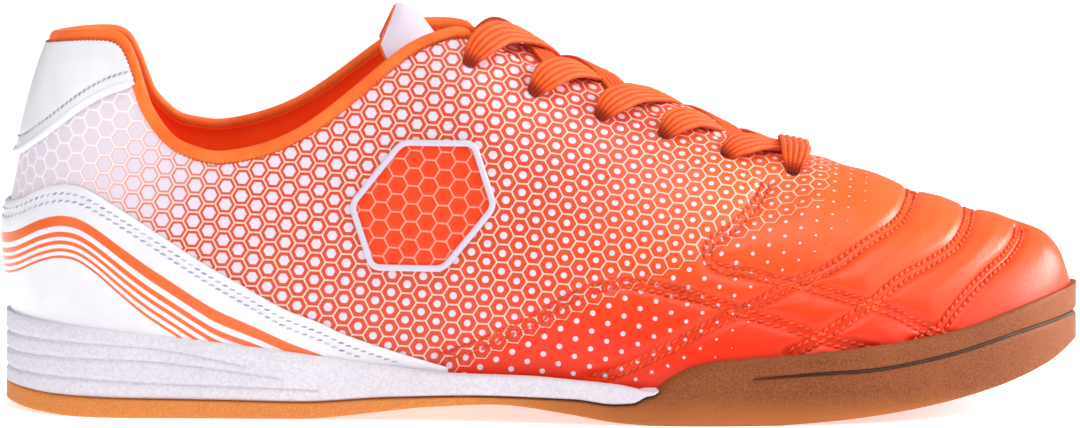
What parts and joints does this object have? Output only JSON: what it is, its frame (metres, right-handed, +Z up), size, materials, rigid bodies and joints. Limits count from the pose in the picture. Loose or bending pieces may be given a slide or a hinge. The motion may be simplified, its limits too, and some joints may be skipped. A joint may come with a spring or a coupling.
{
  "type": "indoor soccer shoe",
  "caption": "Low-cut right indoor soccer shoe: hollow upper with padded tongue and lace crossings, foam midsole wedge, gum cup outsole with toe spring and flat rest spots",
  "frame": {"origin": "on the floor under the centre of the shoe's box", "axes": "+X toward the toe, +Z up, +Y toward the medial side"},
  "size_m": [0.2802, 0.101, 0.1049],
  "materials": {
    "gum": "satin moulded gum rubber",
    "foam": "fine pebbled white foam",
    "lining": "matte knit",
    "orange_leather": "soft satin synthetic leather",
    "white_leather": "soft satin synthetic leather",
    "binding": "rolled woven edge",
    "lace": "flat ribbed weave"
  },
  "bodies": {
    "root": {"outsole": "gum", "midsole": "foam", "insole": "lining", "upper": "orange_leather", "tongue": "white_leather", "collar_binding": "binding", "heel_panel": "white_leather", "heel_foxing": "white_leather", "side_badge_lateral": "white_leather", "side_badge_medial": "white_leather", "lace_crossings": "lace"}
  },
  "joints": []
}
